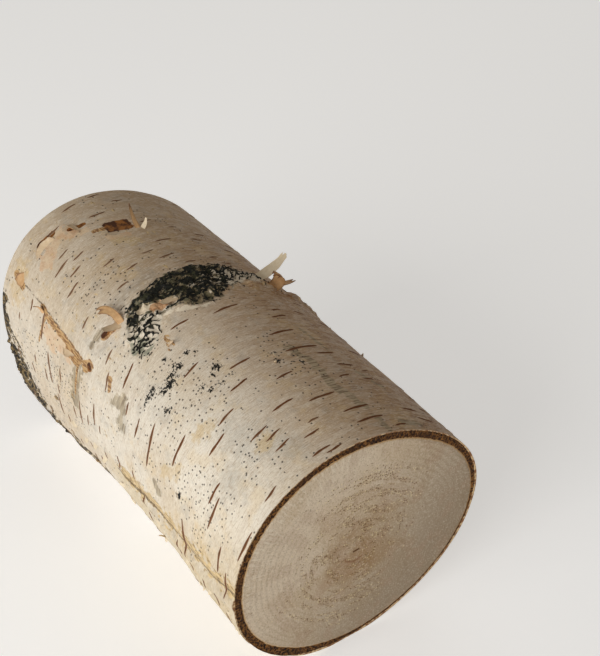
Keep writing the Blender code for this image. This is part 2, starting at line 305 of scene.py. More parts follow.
# %% One number for each kind of mark
def zones(s, a):
    """One number for each kind of mark at each place, above 0 inside."""
    s, a = np.broadcast_arrays(np.asarray(s, float), np.asarray(a, float))
    lined = lambda paths: np.max([beside(s, a, path, width) for path, width in paths], 0)
    turn = angle_gap(a, 90) + 90          # the same angle, counted from -90 to 270
    low_side = smooth((angle_gap(a, 184) + 3) / 6.0) * smooth((245.0 - a) / 12.0)
    made = {
        "ink": np.max([blob(s, a, *spot) for spot in INK], 0),
        "torn": lined(TORN),
        "bared": lined(BARED),
        "pale_tear": lined(PALE_TEAR),
        "scar": lined(SCAR),
        "lip": beside(s, a, CREASE_LIP, 2.6) * smooth((82 - s) / 8.0) - smooth((s - 74) / 8.0),
        "crust": black(s, a) + 0.1,
        "edge": beside(s, a, [(83.4, 114.5), (81.2, 107), (79.2, 101), (79.2, 97)], 0.7),
        "moss": np.maximum.reduce([beside(s, a, [(160, 158), (159.5, 184)], 4.5), blob(s, a, 124, 214, 30, 4),
                                   beside(s, a, [(159, 184), (153, 198), (146, 208)], 9.0)]),
        "slit": np.maximum(beside(s, a, [(78, 186), (74, 184), (51, 180), (31, 179), (15, 178), (0, 173)], 0.5),
                           beside(s, a, [(146, 143), (131, 144.4), (103, 149.2)], 0.3)),
        "white_scrap": lined([([(92, 119.5), (90, 116)], 1.5), ([(88, 110.5), (86.5, 108.5)], 1.6)]),
        "tan_scrap": beside(s, a, [(89, 115.5), (87.8, 112)], 1.5),
        # painted shade: darker and browner on the upper right side, turned away from the lamp, less toward the far
        # end
        "painted_shade": smooth((128 - turn) / 88.0) * smooth((turn + 80) / 90.0) * (1 - 0.5 * smooth((s - 100) / 40.0)),
        # far: greyer, older bark toward the far end, darkened further by painted shade where the light falls off
        # there, most on the side away from the lamp
        "far": smooth((s - 80.0) / 34.0) * (0.45 + 0.55 * smooth((150 - turn) / 40.0)),
        "low_side": low_side * smooth((96.0 - s) / 20.0),
        "yellowed": smooth((62 - s) / 60.0) * smooth((turn - 118) / 50.0),
        "fresh": smooth(1.3 * blob(s, a, 22, 143, 40, 26)),
        "pinkish": smooth((138 - turn) / 60.0) * smooth((turn - 10) / 40.0),
        "smudge": np.maximum.reduce([
            blob(s, a, 26, 127, 8, 6, 20), blob(s, a, 13, 118, 8, 4, 30), blob(s, a, 20, 140, 6, 7),
            beside(s, a, [(101, 125), (103.5, 117), (103, 107)], 2.8)]),
        "stain": lined(STAIN),
        "pale_gap": np.maximum(blob(s, a, 81, 125, 9, 10), blob(s, a, 90, 66, 6, 20)),
        "lichen": blob(s, a, 80, 130, 5.0, 5.0),
        "dotted": np.maximum.reduce([
            blob(s, a, 55, 132, 26, 24, 10), blob(s, a, 28, 155, 26, 18), blob(s, a, 20, 126, 14, 12),
            blob(s, a, 120, 170, 40, 22), blob(s, a, 112, 122, 16, 14), blob(s, a, 40, 92, 22, 10),
            0.05 + 0 * s]),
    }
    for name in made:
        made[name] = np.clip(made[name], -3.0, 1.0)
    return made


# %% [markdown]
# ## Building meshes
#
# Each piece is a grid of points that a formula has placed, joined into facets. Blender's own modifiers could
# add the detail to a simple tube, but a grid gives every point its own s and angle, which the materials need.

# %% Make a piece from a grid of points
def make_piece(name, points, faces, material, marks=None, wrapped=None, crisp=50.0):
    """points in mm, marks: a number for each point, wrapped: a vector for each face corner."""
    me = bpy.data.meshes.new(name)
    me.from_pydata((np.asarray(points).reshape(-1, 3) * MM).tolist(), [], faces)
    for mark, values in (marks or {}).items():
        values = np.asarray(values, np.float32)
        kind, field = ("FLOAT", "value") if values.ndim == 1 else ("FLOAT_VECTOR", "vector")
        me.attributes.new(mark, kind, "POINT").data.foreach_set(field, values.ravel())
    if wrapped is not None:
        me.attributes.new("bark_mm", "FLOAT_VECTOR", "CORNER").data.foreach_set(
            "vector", np.asarray(wrapped, np.float32).ravel())
    me.materials.append(material)
    me.shade_smooth()
    me.set_sharp_from_angle(angle=math.radians(crisp))
    ob = bpy.data.objects.new(name, me)
    bpy.context.scene.collection.objects.link(ob)
    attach(ob, "root")
    print(name, "triangles", sum(len(p.vertices) - 2 for p in me.polygons))
    return ob


def grid_faces(rows, columns, round_=False, closed=False):
    """Facets between rows of points. round_ joins the last column to the first, closed the last row too."""
    steps = rows if closed else rows - 1, columns if round_ else columns - 1
    i, j = np.indices(steps).reshape(2, -1)
    i2, j2 = (i + 1) % rows, (j + 1) % columns
    return i, j, np.stack([i * columns + j, i2 * columns + j, i2 * columns + j2, i * columns + j2], -1).tolist()


def corner_mm(i, j, along, around):
    """The distance round the stem and along it at the four corners of each facet."""
    left, row, next_row = around[j], along[i], along[(i + 1) % len(along)]
    right = left + around[1] - around[0]
    pairs = [(left, row), (left, next_row), (right, next_row), (right, row)]
    return np.stack([np.stack([x, y, 0 * x], -1) for x, y in pairs], 1)


# %% [markdown]
# ## Materials
#
# Everything here is bark or wood, so nothing is metal. Bark paper has a faint satin sheen from its waxy
# powder, cork and sawn wood are dull. One function turns hex colours to linear and one adds a node. A finish
# is then built like paint, coat on coat, each coat with a mask that says where it goes.

# %% Helpers for materials
def paint(hex_colour):
    """sRGB hex to linear RGBA."""
    channels = [int(hex_colour[i:i + 2], 16) / 255 for i in (1, 3, 5)]
    return tuple(c / 12.92 if c <= 0.04045 else ((c + 0.055) / 1.055) ** 2.4 for c in channels) + (1.0,)


def add(tree, kind, inputs=(), out=0, **settings):
    """Adds a node and gives one of its outputs. Each input is a value or the socket that feeds it."""
    made = tree.nodes.new("ShaderNode" + kind)
    for name, value in settings.items():
        setattr(made, name, value)
    for key, value in inputs.items() if isinstance(inputs, dict) else enumerate(inputs):
        if isinstance(value, bpy.types.NodeSocket):
            tree.links.new(value, made.inputs[key])
        else:
            made.inputs[key].default_value = value
    return made.outputs[out]


def per_mm(size):
    """Scale of a pattern whose features are size mm wide."""
    return 1.0 / (size * MM)


def new_material(name, roughness, specular=0.35):
    mat = bpy.data.materials.new(name)
    mat.use_nodes = True
    shader = mat.node_tree.nodes["Principled BSDF"]
    for socket, value in (("Roughness", roughness), ("Specular IOR Level", specular), ("IOR", 1.5)):
        shader.inputs[socket].default_value = value
    return mat, mat.node_tree, shader, add(mat.node_tree, "TexCoord", out="Object")


def grain(tree, at, scale, detail=3.0, shift=(0.0, 0.0, 0.0), roughness=0.5):
    """Cloudy pattern from -1 to 1. shift moves it, so that no two patterns match."""
    moved = add(tree, "VectorMath", (at, shift), operation="ADD")
    return add(tree, "TexNoise", {"Vector": moved, "Scale": scale, "Detail": detail, "Roughness": roughness},
               normalize=False)


def mask(tree, *terms):
    """Says where a colour goes, from 0 to 1, as the product of its terms. A term is a number, a socket, the
    name of a zone, (value, low, high) for a value that rises from low to high, or (zone, pattern, bite, soft)
    for a zone whose edge is bitten by a pattern."""
    product = None
    for term in terms:
        if isinstance(term, tuple) and isinstance(term[0], str):
            name, pattern, bite, soft = term
            bitten = add(tree, "Math", (pattern, bite, mask(tree, name)), operation="MULTIPLY_ADD")
            term = (bitten, -soft, soft)
        if isinstance(term, tuple):
            term = add(tree, "MapRange", term, interpolation_type="SMOOTHSTEP")
        elif isinstance(term, str):
            term = add(tree, "Attribute", out="Fac", attribute_name=term)
        product = term if product is None else add(tree, "Math", (product, term), operation="MULTIPLY")
    return product


def coats(tree, colour, *layers):
    """Lays colours over each other. A layer is a colour and the terms of its mask. A colour is hex or a socket."""
    for above, *terms in layers:
        below, above = (paint(c) if isinstance(c, str) else c for c in (colour, above))
        colour = add(tree, "Mix", {0: mask(tree, *terms), 6: below, 7: above}, out=2, data_type="RGBA")
    return colour


def dress(tree, colour, height=None, strength=0.5, deep_mm=0.2):
    """Gives the shader its colour, and fine relief from a height."""
    shader = tree.nodes["Principled BSDF"]
    tree.links.new(colour, shader.inputs["Base Color"])
    if height is not None:
        bump = add(tree, "Bump", {"Height": height, "Strength": strength, "Distance": deep_mm * MM})
        tree.links.new(bump, shader.inputs["Normal"])


# %% [markdown]
# ### Birch paper
#
# White birch bark is paper-thin cork, layer on layer, whitened by a waxy powder and peeling in bands round the
# stem. So its grain is stretched round the stem, it is chalk white where fresh, pinkish beige where a layer
# has come off, and yellow or blue-grey where it is stained. Speckles are drawn by a cell pattern.

# %% The outer bark
DOT_APART = 2.0          # mm from one dot of the bark fungus to the next


def birch_paper():
    mat, tree, shader, here = new_material("birch bark, white papery cork", 0.62, 0.25)
    wrapped = add(tree, "Attribute", out="Vector", attribute_name="bark_mm")

    def cloudy(size, detail=3.0, roughness=0.55, shift=0.0):
        """Pattern with features of size mm in every direction."""
        return grain(tree, here, per_mm(size), detail, (shift, shift * 0.7, -shift), roughness)

    def banded(size, stretch, detail=3.0, shift=0.0):
        """Pattern drawn out round the stem: size mm along the log, stretch times as much round it."""
        scaled = add(tree, "VectorMath", (wrapped, (1 / (size * stretch), 1 / size, 1.0)), operation="MULTIPLY")
        return grain(tree, scaled, 1.0, detail, (shift, shift, shift))

    small, tiny, broad = cloudy(2.6, 4.0), cloudy(0.7, 3.0, 0.7), cloudy(26.0)
    bands, threads, film = banded(2.2, 6.0, 4.0), banded(0.5, 14.0, 2.0, 3.0), banded(3.4, 2.6, 5.0, 17.0)
    flecks, fibres = banded(0.38, 5.0, 3.0, 11.0), banded(3.0, 0.2, 4.0, 7.0)
    colour = coats(
        tree, "#DCD4C6", ("#D3C6B2", (broad, -0.35, 0.45)),
        # the grey-brown toward the far end is older bark and partly painted shade
        ("#C6A580", "pinkish", 0.6), ("#B49F83", "far", 0.58), ("#CDBD9A", "low_side", 0.6),
        # the dark brown over the upper right side is painted shade
        ("#8F6331", "painted_shade", 0.76), ("#C2AC82", "yellowed", 0.5), ("#F4EEE2", "fresh", 0.5),
        ("#EAE2D4", (bands, 0.05, 0.6), 0.18), ("#AF9377", (bands, -0.15, -0.7), 0.18),
        ("#DDBF86", (cloudy(10.0, 5.0, 0.65, 0.31), 0.1, 0.7), 0.22),
        ("#A3A09A", (cloudy(7.0, 5.0, 0.6, 0.53), 0.15, 0.8), 0.3),
        ("#A9A59C", ("smudge", small, 0.8, 0.8), 0.4), ("#CDB384", ("stain", small, 1.2, 0.6), 0.6),
        # thin brown threads, most of them on the upper right side, where the shade is painted
        ("#754A2A", (threads, 0.12, 0.34), "painted_shade", 0.8), ("#BFA88D", (tiny, 0.15, 0.8), 0.30),
        # patches of a pale top film with a brown rim, then dark and pale flecks
        ("#E9E0D2", (film, 0.10, 0.16), 0.16), ("#9B8468", (film, 0.05, 0.09), (film, 0.14, 0.10), 0.2),
        ("#A68D6E", (flecks, 0.18, 0.6), 0.45), ("#F0E8DC", (flecks, -0.2, -0.6), 0.35))

    # tears: tan fibre, a pale layer beside it, brown windows, grey scars, the lip of the crease
    tan = coats(tree, "#C39D69", ("#80562C", (fibres, -0.3, 0.4)))
    pale = coats(tree, "#DCC4A4", ("#CBA583", (small, -0.6, 0.8)))
    brown = coats(tree, "#94602C", ("#4A2812", (cloudy(4.0, 3.0, 0.6, 0.17), -0.3, 0.35)))
    grey = coats(tree, "#B3A488", ("#66563F", (threads, -0.35, 0.4)))
    lip = coats(tree, "#D8BE8C", ("#8E7043", (fibres, -0.3, 0.5)))
    colour = coats(
        tree, colour, (pale, ("pale_tear", small, 0.7, 0.15), 0.75), (grey, ("scar", small, 1.1, 0.4), 0.74),
        (lip, ("lip", small, 1.3, 0.35), 0.85), (tan, ("torn", small, 0.45, 0.10), 0.9),
        ("#5B4A38", ("slit", tiny, 0.9, 0.5), 0.8), (brown, ("bared", small, 0.3, 0.12)))

    # tiny black dots of a bark fungus, about half a mm across, in swarms, and larger specks of ink black
    cells = add(tree, "TexVoronoi", {"Vector": wrapped, "Scale": 1 / DOT_APART, "Randomness": 1.0}, "Distance",
                voronoi_dimensions="2D")
    chosen = add(tree, "SeparateColor", (cells.node.outputs["Color"],))
    crowd = add(tree, "Math", (cloudy(6.0, 2.0, 0.5, 0.7), 0.7, mask(tree, "dotted", 0.98)), operation="MULTIPLY_ADD")
    allowed = add(tree, "Math", (crowd, chosen), operation="GREATER_THAN")
    colour = coats(tree, colour, ("#2E261E", (cells, 0.19, 0.12), allowed, 0.85),
                   ("#161512", ("ink", cloudy(0.9, 3.0, 0.7, 0.9), 1.5, 0.12)))

    # the crust of the branch collar: black ridges over grey-brown and lichen
    lichen = coats(tree, "#DDD3C2", ("#7F8471", ("lichen", cloudy(2.6, 4.0, 0.7, 2.1), 1.2, 0.4), 0.8))
    hollow = coats(tree, "#8A7C60", ("#2A261C", (cloudy(1.4, 4.0, 0.7, 1.3), -0.3, 0.25)),
                   ("#4A4F36", (cloudy(4.0, 3.0, 0.6, 1.9), 0.1, 0.35), 0.6),
                   (lichen, ("pale_gap", small, 0.9, 0.25)))
    black_cork = coats(tree, "#090A07", ("#1C1F15", (tiny, 0.0, 0.5)),
                       ("#3B3A26", (cloudy(3.2, 4.0, 0.7, 3.9), 0.3, 0.5), 0.7))
    # a scrap of paper on the crust, the torn edge of the near paper, moss and dirt low on the far part, and the
    # cut edge of the sheet at a sawn end, cream with orange layers
    scrap = coats(tree, "#9C6B45", ("#C9A27C", (small, -0.3, 0.4)))
    earth = coats(tree, "#221B11", ("#85704A", (cloudy(1.8, 4.0, 0.7, 2.3), -0.1, 0.5)))
    cut = coats(tree, "#8A5C33", ("#D9BB90", (cloudy(1.4, 3.0, 0.6, 3.3), -0.2, 0.3)))
    colour = coats(
        tree, colour, (hollow, ("crust", small, 0.7, 0.2), 0.9), (black_cork, (mask(tree, "ridge"), 0.42, 0.62)),
        ("#DACBB4", ("white_scrap", small, 0.6, 0.15)), (scrap, ("tan_scrap", small, 1.1, 0.2)),
        ("#EFE3CE", ("edge", small, 1.1, 0.2), 0.85),
        (earth, ("moss", cloudy(4.0, 4.0, 0.7, 2.9), 1.0, 0.15)), (cut, "cut"))

    height = add(tree, "Math", (bands, 0.4, mask(tree, tiny, 0.3)), operation="MULTIPLY_ADD")
    height = add(tree, "Math", (flecks, -0.3, height), operation="MULTIPLY_ADD")
    rugged = mask(tree, fibres, ("torn", small, 0.9, 0.3))
    height = add(tree, "Math", (rugged, 1.2, height), operation="MULTIPLY_ADD")
    dress(tree, colour, height, 0.6, 0.16)
    return mat


paper = birch_paper()

# %% [markdown]
# ## The outer bark
#
# The white bark is a closed sleeve. It gets a fine grid: a facet is about 0.8 mm, which is 2 pixels of the
# photograph. The sheet is thin at the top of the sawn end and thicker low down, where its layers have parted.

# %% Replace the outer bark
COLUMNS, ROWS = 400, 226
bark_a = -90.0 + np.arange(COLUMNS) * 360.0 / COLUMNS      # the seam lies underneath
bark_s = np.linspace(0.0, LENGTH, ROWS)
seen_a = np.where(bark_a < 0, bark_a + 360.0, bark_a)


def by_angle(a, *stops):
    """A value that changes round the stem. stops are (angle, value) pairs over 0 to 360."""
    a = np.asarray(a) % 360.0
    return np.interp(a, [x for x, _ in stops], [y for _, y in stops])


def paper_depth(a):
    return by_angle(a, (0, 0.8), (40, 0.45), (200, 0.5), (235, 0.8), (280, 1.2), (340, 1.1), (360, 0.8))


def wood_depth(a):
    torn = 0.22 * rough(0 * np.asarray(a, float), a, 2.4, 3, 71.0)
    return torn + by_angle(a, (0, 2.0), (30, 2.6), (60, 3.1), (90, 3.3), (130, 3.0), (200, 2.8), (235, 4.1),
                           (255, 3.5), (275, 2.2), (310, 1.6), (350, 1.7), (360, 2.0))


S, A = np.meshgrid(bark_s, seen_a, indexing="ij")
skin = bark_point(S, A, lift=-0.9 * smooth(black(S, A) - 0.1))
ends = {}
for end, s0 in (("near", 0.0), ("far", LENGTH)):
    rings = []
    for n, u in enumerate((0.25, 0.6, 1.0)):
        ring = under_bark(s0, seen_a, u * paper_depth(seen_a) - (1 - u) * fine_relief(np.full(COLUMNS, s0), seen_a))
        frayed = 0.10 * rough(np.full(COLUMNS, 7.0 * n + s0), seen_a, 1.4, 2, 61.0)
        ring[:, 0] += (frayed - 0.06 * u) * (1 if end == "near" else -1)
        rings.append(set_down(ring))
    ends[end] = rings
inner_s = (150.0, 80.0, 9.0)
inner = [set_down(under_bark(s0, seen_a, PAPER)) for s0 in inner_s]
points = np.array(list(skin) + ends["far"] + inner + ends["near"][::-1])
along = np.concatenate([bark_s, LENGTH + np.array([0.4, 0.8, 1.4]), inner_s, np.array([-1.4, -0.8, -0.4])])
i, j, faces = grid_faces(len(points), COLUMNS, round_=True, closed=True)
flat_s = np.clip(along, 0, LENGTH)[:, None] + np.zeros(COLUMNS)
flat_a = np.broadcast_to(seen_a, flat_s.shape)
marks = {name: values.ravel() for name, values in zones(flat_s, flat_a).items()}
marks["cut"] = np.repeat((np.arange(len(points)) >= ROWS).astype(float), COLUMNS)
marks["ridge"] = np.zeros(points.shape[0] * COLUMNS)
outer = make_piece("outer_bark_paper", points, faces, paper, marks,
                   corner_mm(i, j, along, np.radians(bark_a) * RADIUS))
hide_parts("outer_bark")
skin_tree = BVHTree.FromPolygons([Vector(p) for p in points.reshape(-1, 3).tolist()], faces)

# %% [markdown]
# ## The crust of the branch collar
#
# Where a branch once left the stem, the bark grew into a band of black, curly, corky ridges. Paint alone would
# look flat there, so a denser patch of mesh lies over the band and stands up in ridges. Its rim dips under
# the paper, which gives it an outline as irregular as the real one.

# %% Black ridges
patch_s, patch_a = np.linspace(73.0, 106.0, 150), np.linspace(42.0, 137.0, 372)
S, A = np.meshgrid(patch_s, patch_a, indexing="ij")
arc = np.radians(A) * RADIUS


def curly(x, y, seed, octaves=2):
    """Lumps between about -1 and 1 over a flat sheet, one unit across."""
    flat = np.stack([x, y, np.full(x.shape, seed)], -1).reshape(-1, 3).tolist()
    return np.array([noise.fractal(v, 1.0, 2.0, octaves) for v in flat]).reshape(x.shape)


bend_s, bend_a = 1.4 * curly(S / 3.6, arc / 3.6, 3.3), 1.4 * curly(S / 3.6, arc / 3.6, 8.1)
worms = 1.0 - 3.0 * np.abs(curly((S + bend_s) / 1.5, (arc + bend_a) / 2.6, 5.7, 2))
more_worms = 1.0 - 2.4 * np.abs(curly((S - bend_a) / 1.2, (arc + bend_s) / 2.4, 9.3, 2))
inside = black(S, A)
frayed = 1.0 + 0.9 * smooth((A - 112) / 8.0) + 0.9 * smooth((84 - A) / 10.0)
ragged_in = inside + frayed * curly(S / 1.9, arc / 2.8, 12.4, 3) - 0.12
ridge = np.clip(worms + 0.5 * smooth(1.6 * blob(S, A, 95, 117, 6, 9)), 0, 1) * smooth(ragged_in * 1.5 + 0.7)
dense = smooth((114 - A) / 5.0) * smooth(1.1 + 2.0 * curly(S / 3, arc / 5, 20.2) - 1.5 * smooth((92 - A) / 15))
matted = np.clip(more_worms + 0.3 + 1.1 * curly(S / 3.2, arc / 4.5, 44.0), 0, 1) * dense
ridge = np.maximum(ridge, matted * smooth(ragged_in * 1.5 + 0.4))
# none under the scrap of paper that lies on it
ridge *= 1.0 - smooth(2.0 * beside(S, A, [(91.5, 118.5), (88.5, 115), (87, 109)], 2.8))
lift = -0.30 + 0.9 * ridge + 0.3 * smooth(ragged_in) * curly(S / 0.9, arc / 0.9, 30.1)
lift = lift * smooth(ragged_in * 1.2 + 1.4) - 1.2 * (1 - smooth(ragged_in * 1.2 + 1.6))
crust_points = bark_point(S, A, lift=lift)
i, j, faces = grid_faces(len(patch_s), len(patch_a))
marks = {name: values.ravel() for name, values in zones(S, A).items()}
marks["ridge"] = np.clip(ridge * (1.0 + 0.45 * smooth((A - 110) / 6.0)), 0, 1).ravel()
marks["cut"] = np.zeros(S.size)
make_piece("branch_collar_crust", crust_points, faces, paper, marks,
           corner_mm(i, j, patch_s, np.radians(patch_a) * RADIUS), crisp=80.0)

# %% [markdown]
# ## Lenticels
#
# The short red-brown dashes are lenticels, the pores through which birch bark breathes. Each is a slit with
# raised lips that runs round the stem. A dash painted by a texture would blur at this size, so each one is a
# thin lens of mesh laid on the bark. The boldest are listed one by one, the rest follow the same habit at random.

# %% Where the lenticels are
LENTICELS = [  # s, angle of the middle, length in mm, slant in degrees
    (57, 154, 16, 7), (44, 146, 11.5, 3), (32, 134, 8.5, 3), (59, 122, 7, 4), (36, 125, 7, 4), (42, 114, 7, 4),
    (49, 108, 8, 0), (23, 121, 7, 4), (19, 118, 6, 5), (14, 118, 6, 5), (26, 108, 8, 0), (36, 99, 7, 4),
    (56, 83, 12, 5), (46, 82, 15, 2), (42, 73, 8.5, 3), (22, 94, 10.5, 0), (13, 86, 11.5, 3), (15, 104, 4.5, 0),
    (7, 85, 12, 2), (29, 76, 6, 9), (35, 69, 8.5, -3), (32, 60, 4.5, 10), (27, 64, 6, -5), (10, 58, 8, -3),
    (2, 74, 6, 5), (69, 74, 5, 5), (65, 76, 8, 7), (69, 60, 6, -5), (5, 54, 9, -9), (77, 113, 7, -4),
    (74, 95, 10.5, 3), (79, 140, 9.5, 9), (87, 148, 7, 12), (91, 140, 6, 5), (23, 147, 8.5, -3), (20, 153, 12, 0),
    (3, 152, 11.5, -3), (12, 166, 10.5, 3), (32, 177, 17, 8), (7, 174, 11.5, 3), (4, 110, 7, 0), (2, 106, 6, 0),
    (5, 132, 6, 5), (11, 108, 6, 0), (157, 96, 5, 2), (151, 89, 5, 2), (139, 148, 5, 4), (130, 152, 11, 4),
    (124, 169, 15, 5), (109, 137, 5, 3), (102, 176, 12, 5), (120, 188, 12, 4), (91, 167, 10, 4), (73, 150, 5, 6),
    (104, 88, 5, 3), (107, 117, 5, 3), (112, 109, 5, 3), (120, 114, 5, 3), (132, 120, 5, 4), (134, 128, 8, 4),
    (123, 131, 7, 4), (120, 89, 7, 2),
]


BEHIND_CRUST = 84.0      # s beyond which the bark is older and greyer


def more_lenticels(count, seed):
    rng, placed = random.Random(seed), list(LENTICELS)
    while len(placed) < count:
        s, a = rng.uniform(3, LENGTH - 3), rng.uniform(-75, 255)
        room = min(math.hypot((s - p[0]) * 1.6, (angle_gap(a, p[1])) * 0.55) for p in placed)
        seen_front = s < 76 and 52 < a < 185
        if room < (12.0 if seen_front else 6.2) or collar(s, a)[0] > -1.2 or blob(s, a, 134, 99, 8, 9) > 0:
            continue
        if max(beside(np.array(s), np.array(a), path, 6.0) for path, _ in TORN + SCAR) > 0:
            continue
        placed.append((s, a, rng.uniform(3.5, 7.0) if s > 80 else rng.uniform(4.0, 9.0), rng.uniform(-3, 8)))
    return placed


print("lenticels placed by hand", len(LENTICELS))


# %% The shape of one lenticel
def lens(s0, a0, length, slant, rng):
    """Points of one lenticel: rows from end to end, five across."""
    rows = max(6, int(length * 1.6))
    u = np.linspace(-1, 1, rows)
    wide = (0.27 + 0.015 * length) * (1.05 if s0 > BEHIND_CRUST else 1.0)
    width = wide * np.sqrt(np.clip(1 - np.abs(u) ** 2.2, 0, 1)) * (1 + 0.16 * np.sin(u * 5 + rng.uniform(0, 6)))
    wave = 0.10 * np.sin(u * rng.uniform(2, 4) + rng.uniform(0, 6))
    run, turn = u * length / 2, math.radians(slant)
    made = []
    for across, lift in ((-1.5, -0.12), (-0.75, 0.13), (0, 0.04), (0.75, 0.13), (1.5, -0.12)):
        d = wave + across * width
        round_ = (run * math.cos(turn) + d * math.sin(turn)) / RADIUS
        made.append((s0 + d * math.cos(turn) - run * math.sin(turn), a0 + np.degrees(round_),
                     lift * (0.4 + width / 0.5)))
    return [np.stack(x, -1) for x in zip(*made)]


# %% Lay the lenticels on the bark
def on_bark(s, a, lift):
    """Drops points onto the bark mesh along the radius and lifts them by some mm."""
    mid, out = place(s, a, 0 * s) + SHIFT, np.stack([0 * s, np.cos(np.radians(a)), np.sin(np.radians(a))], -1)
    found = []
    for m, o, up in zip(mid.reshape(-1, 3), out.reshape(-1, 3), np.asarray(lift).ravel()):
        hit = skin_tree.ray_cast(Vector(m + 70.0 * o), Vector(-o))[0]
        found.append(np.array(hit) + o * up if hit is not None else m + o * 45.0)
    found = np.array(found)
    found[:, 2] = np.maximum(found[:, 2], 0.05)          # nothing reaches below the floor
    return found.reshape(s.shape + (3,))


rng = random.Random(5)
all_points, all_faces, core, worn = [], [], [], []
for s0, a0, length, slant in more_lenticels(235, 21):
    ls, la, lift = lens(s0, a0, length, slant, rng)
    if ls.min() < 0.3 or ls.max() > LENGTH - 0.3:
        continue
    base = sum(len(p) for p in all_points)
    all_points.append(on_bark(ls, la, lift).reshape(-1, 3))
    _, _, faces = grid_faces(*ls.shape)
    all_faces += [[v + base for v in face[::-1]] for face in faces]
    core += [0.0, 0.75, 1.0, 0.75, 0.0] * len(ls)
    fade = 0.06 + (0.28 if s0 > BEHIND_CRUST else 0.0) + 0.12 * rng.random() + 0.2 * (length < 5)
    worn += [fade] * ls.size


# %% Lenticel cork
def lenticel_cork():
    """Lenticel cork, loose and powdery: dull, red-brown in the slit and bark-coloured on the lips."""
    mat, tree, shader, here = new_material("lenticel cork, powdery", 0.85, 0.2)
    grit = add(tree, "TexNoise", {"Vector": here, "Scale": per_mm(0.8), "Detail": 3.0})
    slit = coats(tree, "#43200C", ("#7C4820", grit), ("#8F7A64", "worn"))
    dress(tree, coats(tree, "#C9B298", (slit, (mask(tree, "core"), 0.15, 0.7))))
    return mat


make_piece("lenticels", np.concatenate(all_points), all_faces, lenticel_cork(),
           {"core": core, "worn": worn}, crisp=180.0)

# %% [markdown]
# ## Curls of peeling bark
#
# Where the paper tears it rolls up. A curl is white on the outside and tan-orange on the inside, because the
# inside is fresh cork. Each one is a strip that leaves the bark and bends more and more, ragged at its tip.

# %% Where the curls are
CURLS = [  # s, angle, heading, length, width, slope where it leaves, slope at its tip, taper, twist, faces
    (96, 127, -26, 10.5, 2.8, 50, -15, -0.3, 10, 4), (95.5, 128, 84, 7, 4.0, 14, 60, 0.4, 0, 2),
    (131, 93, -5, 10, 1.9, 22, 75, 0.2, 35, 1), (130, 91, -70, 4, 2.2, 40, 80, 0.5, 0, 0),
    (145, 113, 95, 3, 6, 25, 90, 0.5, 0, 2), (147, 126, -10, 3, 11, 12, 40, 0.5, 0, 2),
    (132, 146, -80, 5, 2.4, 40, 120, 0.6, 30, 1), (112, 152, 98, 2.0, 8, 12, 40, 0.6, 0, 2),
    (149, 142, 5, 3, 6, 12, 60, 0.5, 0, 1), (93, 60, -105, 14, 6, 48, 82, 0.35, 10, 0),
    (86, 58, -85, 10, 6, 35, 250, 0.2, 0, 1), (90, 55, -95, 11, 4.5, 20, 40, 0.4, -12, 1),
    (88, 107, 100, 6, 4, 8, 30, 0.4, 0, 2), (74, 121, -150, 4, 2.4, 15, 50, 0.6, 0, 2),
    (45.5, 95.5, 60, 1.6, 1.4, 30, 80, 0.4, 0, 3), (42.5, 97.5, 160, 1.4, 1.2, 30, 80, 0.4, 0, 3),
]
# how tan the outer and the inner face of each kind of curl are
FACES = {0: (0.0, 1.0), 1: (0.85, 1.0), 2: (0.35, 0.8), 3: (0.0, 0.15), 4: (0.85, 1.0)}
SWAY = {0: 100.0}        # how many degrees a curl also bends sideways: only the first one, beside the crust
SUNK = 1.2               # mm of a curl that lie under the bark at its root


def hidden_curls():
    """Curls round the back, of the same kind, from one seed."""
    pick = random.Random(12)
    for n, a in enumerate((14, -2, -16, -30, -44, -57, 4, -24)):
        rolled = n % 2 == 0
        yield (16 + 17 * n + pick.uniform(-6, 6), a, pick.choice((-90, 90)) + pick.uniform(-20, 20),
               pick.uniform(7, 9) if rolled else pick.uniform(8, 13), pick.uniform(6, 12), pick.uniform(6, 12),
               pick.uniform(220, 270) if rolled else pick.uniform(14, 30), pick.uniform(0.2, 0.5), 0,
               1 if rolled else 2)


def flakes():
    """Small scales of paper that lift on the worn strip low on the left and round the back."""
    pick = random.Random(31)
    for n in range(40):
        low = n < 24
        s, a = pick.uniform(3, 125), pick.uniform(186, 214) if low else pick.uniform(-75, 40)
        yield (s, a, pick.choice((-90, 90, 80, 0, 180)) + pick.uniform(-25, 25), pick.uniform(1.2, 2.4),
               pick.uniform(1.5, 4.0), pick.uniform(14, 26), pick.uniform(20, 60), pick.uniform(0.3, 0.7), 0, 3)


print("curls in sight", len(CURLS), "hidden", len(list(hidden_curls())), "flakes", len(list(flakes())))


